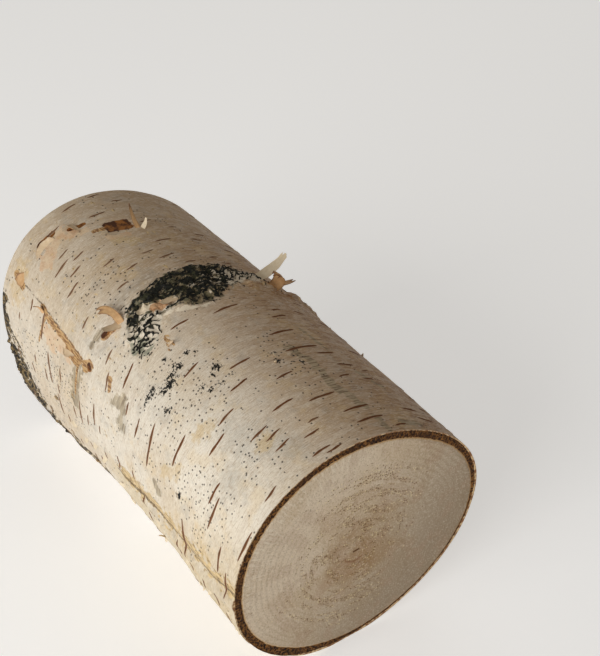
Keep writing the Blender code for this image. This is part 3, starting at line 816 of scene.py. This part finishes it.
# %% The shape of one curl
def curl(s, a, heading, length, width, rise, turn, taper, twist, steps=28, across=9, seed=0.0, sway=0.0):
    """Points of the outer and the inner face of a strip of bark."""
    th, h = math.radians(a), math.radians(heading)
    up = np.array((0, math.cos(th), math.sin(th)))
    ahead = np.array((-1.0, 0, 0)) * math.cos(h) + np.array((0, -math.sin(th), math.cos(th))) * math.sin(h)
    side = np.cross(up, ahead)
    s1, a1 = np.array([float(s)]), np.array([float(a)])
    root = float((stem_radius(s1, a1) + np.maximum(relief(s1, a1), 0.0))[0]) - 0.5 * CURL - 0.35
    p = place(float(s), float(a), root) + SHIFT - ahead * SUNK
    x = np.linspace(-1, 1, across)
    reach = np.array([1.0 + 0.22 * noise.noise((seed, 2.6 * v, 0.5)) - 0.12 * v * v for v in x])
    faces_out, faces_in, path = [], [], []
    for n in range(steps + 1):
        u = n / steps
        slope, bent = (math.radians(x) for x in (rise + (turn - rise) * u ** 1.3, sway * u ** 1.3))
        onward = ahead * math.cos(bent) + side * math.sin(bent)
        forward = onward * math.cos(slope) + up * math.sin(slope)
        over = up * math.cos(slope) - onward * math.sin(slope)
        path.append((p, over, side * math.cos(bent) - ahead * math.sin(bent)))
        p = p + forward * (length + SUNK) / steps
    path = np.array(path)
    for n in range(steps + 1):
        u = n / steps
        wavy = 1 + 0.08 * math.sin(7 * u + s) + 0.10 * noise.noise((u * 5, seed, 7.0))
        half = 0.5 * width * (1 - taper * u * u) * wavy
        row_out, row_in = [], []
        for v, r in zip(x, reach):
            f = min(n * r, steps)
            k = min(int(f), steps - 1)
            q, o, w = path[k] * (1 - f + k) + path[k + 1] * (f - k)
            thick = 0.5 * CURL * (0.7 - 0.5 * u) * (1 - 0.75 * v * v)
            cup = 0.05 * width * v * v * u + 0.12 * noise.noise((u * 4, v * 2, seed))
            rolled = math.radians(twist * u)
            flat = w * math.cos(rolled) + o * math.sin(rolled)
            proud = o * math.cos(rolled) - w * math.sin(rolled)
            row_out.append(q + flat * v * half + proud * (thick + cup))
            row_in.append(q + flat * v * half + proud * (cup - thick))
        faces_out.append(row_out)
        faces_in.append(row_in)
    return np.array(faces_out), np.array(faces_in)


# %% Build the curls
all_points, all_faces, inside_marks, tip_marks, rim_marks = [], [], [], [], []
for n, (*strip, kind) in enumerate(CURLS + list(hidden_curls()) + list(flakes())):
    fine = dict(steps=28, across=11) if strip[3] > 3.8 else dict(steps=9, across=9)       # by its length
    top, under = curl(*strip, seed=2.7 * n + 1.0, sway=SWAY.get(n, 0.0), **fine)
    loop = np.concatenate([top, under[:, ::-1]], 1)          # one closed ring of points for each step
    base = sum(len(p) for p in all_points)
    all_points.append(loop.reshape(-1, 3))
    rows, columns = loop.shape[:2]
    _, _, faces = grid_faces(rows, columns, round_=True)
    all_faces += [[v + base for v in face] for face in faces]
    for row in (0, rows - 1):
        for k in range(columns // 2 - 1):
            first, last = row * columns + k, (row + 1) * columns - 1 - k
            quad = [first, first + 1, last - 1, last]
            all_faces.append([v + base for v in (quad if row else quad[::-1])])
    inside_marks += np.tile(np.repeat(FACES[kind], columns // 2), rows).tolist()
    tip_marks += np.repeat(np.linspace(0, 1, rows), columns).tolist()
    rim_marks += (np.linspace(-1, 1, columns // 2) ** 2).tolist() * 2 * rows


# %% Peeled paper
def peeled_paper():
    """Birch paper seen from both sides: chalky outside and tan-orange inside."""
    mat, tree, shader, here = new_material("peeled birch paper, two-sided", 0.55)
    grit = add(tree, "TexNoise", {"Vector": here, "Scale": per_mm(1.6), "Detail": 4.0, "Roughness": 0.65})
    outer_face, inner_face = coats(tree, "#CDB894", ("#EFE4CF", grit)), coats(tree, "#A86C34", ("#E3BC84", grit))
    # the tip of a curl: pale torn fibre outside, and brown inside, which is painted shade in the rolled tip
    frayed = coats(tree, "#E6D6B8", ("#7A4A24", "inside"))
    colour = coats(tree, outer_face, (inner_face, "inside"),
                   ("#6B3F1C", (mask(tree, "rim"), 0.45, 1.0), "inside", 0.6),
                   (frayed, (mask(tree, "tip"), 0.8, 1.0)))
    dress(tree, colour, grit, 0.5, 0.2)
    return mat


make_piece("bark_curls", np.concatenate(all_points), all_faces, peeled_paper(),
           {"inside": inside_marks, "tip": tip_marks, "rim": rim_marks}, crisp=60.0)

# %% [markdown]
# ## Inner bark
#
# Between paper and wood lies the living and the dead inner bark, a corky layer, brown and grainy where the saw
# has torn it. It is seen edge on, as a ring, so its end face gets the fine mesh.

# %% Replace the inner bark
RING = 720
ring_a = -90.0 + np.arange(RING) * 360.0 / RING
seen_ring = np.where(ring_a < 0, ring_a + 360.0, ring_a)


def end_rings(s0, depths, rough_mm, seed):
    """Rings of points on a sawn end, from one depth under the bark to another, with a torn grain."""
    made = []
    for n, depth in enumerate(depths):
        r = stem_radius(s0, seen_ring) - depth
        ring = place(np.full(RING, s0), seen_ring, r)
        th = np.radians(seen_ring)
        grain = np.array([noise.fractal(v, 1.0, 2.0, 2) for v in np.stack(
            [r * np.cos(th) / 0.8, r * np.sin(th) / 0.8, np.full(RING, seed)], -1).tolist()])
        ring[:, 0] += (1 if s0 < 1 else -1) * (rough_mm * grain - 0.12)
        made.append(set_down(ring))
    return made


def inner_bark_rings():
    top, low = paper_depth(seen_ring) - 0.05, wood_depth(seen_ring) + 0.1
    depths = [top + (low - top) * u for u in np.linspace(0, 1, 9)]
    side = [set_down(under_bark(s0, seen_ring, PAPER + 0.02)) for s0 in (6.0, 80.0, 153.0)]
    inner_side = [set_down(under_bark(s0, seen_ring, PAPER + CORK + GAP)) for s0 in (152.0, 80.0, 7.0)]
    return end_rings(0.0, depths, 0.22, 4.4)[::-1] + side + end_rings(LENGTH, depths, 0.22, 9.9) + inner_side


def corky_bark():
    """Inner bark of birch, sawn across: dull, red-brown with tan grit about 0.5 mm across."""
    mat, tree, shader, here = new_material("inner bark, corky and sawn", 0.88, 0.2)
    grit = grain(tree, here, per_mm(0.9), 3.0, roughness=0.7)
    drift = add(tree, "MapRange", (grain(tree, here, per_mm(14.0), 2.0), -0.1, 0.5))
    colour = coats(tree, "#2C190C", ("#8E6030", (grit, -0.25, 0.4)), ("#4C2F19", drift, 0.7))
    dress(tree, colour, grit, 0.8, 0.3)
    return mat


points = np.array(inner_bark_rings())
i, j, faces = grid_faces(len(points), RING, round_=True, closed=True)
inner_bark = make_piece("inner_bark_cork", points, faces, corky_bark(), crisp=60.0)
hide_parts("inner_bark")

# %% [markdown]
# ## Sawn wood
#
# Birch wood is pale and even. The sawn face shows faint growth rings round a small dark pith, tan pores
# in arcs and a fine fuzz left by the saw. Each point of the face knows how far it is from the pith, counted
# so that the outermost ring follows the bark, and the material draws the rings from that number.

# %% Points of the wood
PITH = {"near": (-1.5, 47.6), "far": (-3.0, 52.0)}      # y and z before the log is set down
EDGE_MM = 44.0                                          # mean distance from pith to bark
RING_WIDTH, PORES_APART = 2.1, 0.85                     # mm


def wood_rings():
    points, ring_mm, fibre = [], [], []
    th = np.radians(seen_ring)

    def keep(ring, mm):
        points.append(set_down(ring))
        ring_mm.append(np.full(RING, mm))
        fibre.append(np.stack([30 * np.cos(th), 30 * np.sin(th), np.full(RING, mm)], -1))

    for end, s0 in (("near", 0.0), ("far", LENGTH)):
        edge = under_bark(s0, seen_ring, wood_depth(seen_ring))
        pith = edge[0] * 0 + np.array([0, PITH[end][0], PITH[end][1]])
        slant = math.tan(math.radians(CUT_YAW)) * pith[1] + math.tan(math.radians(CUT_PITCH)) * (pith[2] - RADIUS)
        pith[0] = -s0 + slant * (end == "near")
        steps = np.concatenate([np.linspace(0.004, 0.97, 58), [0.99, 1.0]])
        for u in (steps if end == "near" else steps[::-1]):
            ring = pith + (edge - pith) * u
            saw = 0.06 * curly(ring[:, 1] / 5.0, ring[:, 2] / 14.0, 2.2)
            ring[:, 0] += (1 if end == "near" else -1) * (saw - 0.25 * smooth((u - 0.985) / 0.015))
            keep(ring, u * EDGE_MM)
        if end == "near":
            for s1 in (8.0, 80.0, 151.0):
                keep(under_bark(s1, seen_ring, PAPER + CORK + GAP), EDGE_MM)
    return np.array(points), np.array(ring_mm), np.array(fibre)


# %% Sawn birch
def sawn_birch():
    """Birch, freshly sawn across the grain: dull and pale, because the cut fibres scatter light."""
    mat, tree, shader, here = new_material("birch wood, sawn end grain", 0.8, 0.25)
    ring_mm, polar = mask(tree, "ring_mm"), add(tree, "Attribute", out="Vector", attribute_name="fibre")

    def cloudy(size, detail=3.0, shift=0.0):
        """Pattern with features of size mm."""
        return grain(tree, here, per_mm(size), detail, (shift, shift, shift))

    def drawn_out(round_, outward, detail, shift):
        """Pattern that is scaled by one number round the pith and by another away from it."""
        scaled = add(tree, "VectorMath", (polar, (round_, round_, outward)), operation="MULTIPLY")
        return grain(tree, scaled, 1.0, detail, (shift, shift, shift))

    def toward(y, z):
        """30 in this direction from the pith, 0 at right angles to it and -30 opposite."""
        return add(tree, "VectorMath", (polar, (y, z, 0.0)), "Value", operation="DOT_PRODUCT")

    # pale wood, greyer toward the lower right, stained tan in the middle of the stem
    heart = add(tree, "Math", (cloudy(12.0, 3.0, 0.4), 9.0, ring_mm), operation="MULTIPLY_ADD")
    colour = coats(
        tree, "#D5C4AD", ("#CBB79C", (cloudy(18.0), -0.4, 0.4)),
        ("#7B6850", (mask(tree, toward(0.78, -0.62), ring_mm), -900.0, 1300.0), 0.72),
        ("#97754A", (heart, 22.0, 1.0), 0.78), ("#A98C74", (cloudy(8.0, 4.0, 5.5), 0.05, 0.4), 0.3))

    # growth rings about 2 mm wide, pale early wood and slightly darker late wood, clearest at the sides
    wavy = add(tree, "Math", (cloudy(15.0, 2.0, 0.9), 0.8, ring_mm), operation="MULTIPLY_ADD")
    year = add(tree, "Math", (add(tree, "Math", (wavy, RING_WIDTH), operation="DIVIDE"),), operation="FRACT")
    late = add(tree, "Math", (year, 0.5), operation="PINGPONG")
    sideways = add(tree, "Math", (toward(0.97, 0.2),), operation="ABSOLUTE")
    clear = add(tree, "Math", (cloudy(22.0, 2.0, 1.7), 12.0, sideways), operation="MULTIPLY_ADD")
    colour = coats(tree, colour, ("#856C50", (late, 0.18, 0.5), (ring_mm, 12.0, 36.0), (clear, 8.0, 30.0), 0.23))

    # pores: small tan specks in arcs, along a band that crosses the face a little left of the pith
    aside = add(tree, "Math", (mask(tree, toward(0.97, -0.25), ring_mm), 100.0), operation="ADD")
    aside = add(tree, "Math", (aside,), operation="ABSOLUTE")
    crowd = mask(tree, (drawn_out(0.07, 0.46, 3.0, 4.0), -0.05, 0.16), (ring_mm, 1.5, 5.0), (ring_mm, 38.0, 26.0),
                 (aside, 820.0, 150.0))
    _, y, z = add(tree, "SeparateXYZ", (here,)).node.outputs
    pores = add(tree, "TexVoronoi", {"Vector": add(tree, "CombineXYZ", (y, z)), "Scale": per_mm(PORES_APART),
                                     "Randomness": 1.0}, "Distance", voronoi_dimensions="2D")
    red, green, _ = add(tree, "SeparateColor", (pores.node.outputs["Color"],)).node.outputs
    colour = coats(tree, colour, ("#94713F", crowd, 0.24))
    for hex_colour, pick, wide, amount in (("#E2D2A8", green, 0.30, 0.7), ("#64411A", red, 0.26, 0.9)):
        chosen = add(tree, "Math", (mask(tree, crowd, 0.75), pick), operation="GREATER_THAN")
        colour = coats(tree, colour, (hex_colour, (pores, wide + 0.12, wide), chosen, amount))

    # saw fuzz: short pale fibres that point outward near the bark, and a fine mottle everywhere
    fuzz = mask(tree, (ring_mm, 28.0, 43.0), (drawn_out(1.9, 0.28, 2.0, 2.0), 0.0, 0.5),
                (toward(-0.80, 0.60), 8.0, 28.0))
    mottle = cloudy(0.6, 3.0, 3.1)
    # the pith is a dark dash 2 mm long, with a reddish arc under it. Young wood is a golden line at the bark
    dash = add(tree, "Math", (mask(tree, toward(-0.1, 0.995), ring_mm),), operation="ABSOLUTE")
    colour = coats(
        tree, colour, ("#E6DCCA", fuzz, 0.5),
        ("#D8CBB8", (mottle, 0.1, 0.6), 0.4), ("#8E775C", (mottle, -0.1, -0.6), 0.4),
        ("#7C4B2C", (wavy, 3.6, 4.4), (wavy, 5.4, 4.6), (toward(-0.3, -1.0), 12.0, 26.0), 0.6),
        ("#5A3518", (ring_mm, 1.45, 1.05), (dash, 15.0, 9.0)), ("#B98F55", (ring_mm, 43.2, 43.8), 0.8))
    height = add(tree, "Math", (mottle, 0.8, mask(tree, fuzz, 0.5)), operation="MULTIPLY_ADD")
    dress(tree, colour, height, 0.4, 0.12)
    return mat


# %% Replace the wood
points, ring_mm, fibre = wood_rings()
i, j, faces = grid_faces(len(points), RING, round_=True)
last = (len(points) - 1) * RING
faces += [list(range(RING)), [last + k for k in range(RING)][::-1]]
wood = make_piece("sawn_wood", points, faces, sawn_birch(),
                  {"ring_mm": ring_mm.ravel(), "fibre": fibre.reshape(-1, 3)}, crisp=40.0)
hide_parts("wood")

# %% [markdown]
# ## Light, floor and camera
#
# The photograph was lit by a large window low on the left, and the log stood on a white table that threw
# light back from below. A large soft lamp, a weaker one behind for the sky and a pale floor that glows a little
# give the same.

# %% Floor
FLOOR, GLOW = 40.0, 0.36          # half its width in m, and how strongly it glows
floor_mesh = bpy.data.meshes.new("pale_floor")
corners = [(-FLOOR, -FLOOR, 0), (FLOOR, -FLOOR, 0), (FLOOR, FLOOR, 0), (-FLOOR, FLOOR, 0)]
floor_mesh.from_pydata(corners, [], [(0, 1, 2, 3)])
floor = bpy.data.objects.new("pale_floor", floor_mesh)
bpy.context.scene.collection.objects.link(floor)
white, _, shader, _ = new_material("pale floor, matt", 0.9, 0.1)
shader.inputs["Base Color"].default_value = paint("#F0F1F3")
shader.inputs["Emission Color"].default_value = (0.98, 0.99, 1.0, 1.0)
shader.inputs["Emission Strength"].default_value = GLOW
floor_mesh.materials.append(white)
print("floor of", 2 * FLOOR, "m")

# %% Lamps
ROOM_COLOUR, ROOM_LIGHT = (1.0, 0.92, 0.80, 1.0), 0.27
AIM = (0.0, 0.0, 0.05)            # the middle of the log, in m
LAMPS = [  # name, watts, size and place in m, colour
    ("window", 7.1, 0.7, (0.24, -0.95, 0.34), (1.0, 0.985, 0.95)),
    ("sky", 1.0, 1.0, (-0.6, 0.5, 0.9), (1.0, 0.97, 0.92)),
]
world = bpy.data.worlds.new("soft studio")
bpy.context.scene.world = world
world.use_nodes = True
room = world.node_tree.nodes["Background"].inputs
room[0].default_value, room[1].default_value = ROOM_COLOUR, ROOM_LIGHT
for name, power, size, at, colour in LAMPS:
    light = bpy.data.lights.new(name, "AREA")
    light.energy, light.size, light.color = power, size, colour
    ob = bpy.data.objects.new(name, light)
    ob.location = at
    ob.rotation_euler = (Vector(AIM) - Vector(at)).to_track_quat("-Z", "Y").to_euler()
    ob.visible_camera = False
    bpy.context.scene.collection.objects.link(ob)
    print("lamp", name, power, "W")

# %% Camera
FOCAL_PX, TALL_PX = 1135.9, 656          # focal length and image height, both in pixels
AZIMUTH, DOWN, ROLL = 50.216, 36.659, 4.150          # degrees
CAMERA_AT = (184.6, -186.4, 331.7)       # mm, before the log is set down
SENSOR = 36.0                            # mm
az, el, roll = (math.radians(x) for x in (AZIMUTH, DOWN, ROLL))
forward = Vector((-math.sin(az) * math.cos(el), math.cos(az) * math.cos(el), -math.sin(el)))
right = Vector((math.cos(az), math.sin(az), 0.0))
up = right.cross(forward)
cam_x, cam_y = right * math.cos(roll) + up * math.sin(roll), up * math.cos(roll) - right * math.sin(roll)
camera = bpy.data.objects.new("camera", bpy.data.cameras.new("camera"))
bpy.context.scene.collection.objects.link(camera)
at = Vector(np.array(CAMERA_AT) + SHIFT) * MM
camera.matrix_world = Matrix([(cam_x[k], cam_y[k], -forward[k], at[k]) for k in range(3)] + [(0, 0, 0, 1)])
camera.data.sensor_width, camera.data.lens = SENSOR, SENSOR * FOCAL_PX / TALL_PX
bpy.context.scene.camera = camera
bpy.context.scene.view_settings.view_transform = "Standard"

# %% Print the lens and finish
print("lens in mm", round(camera.data.lens, 1))
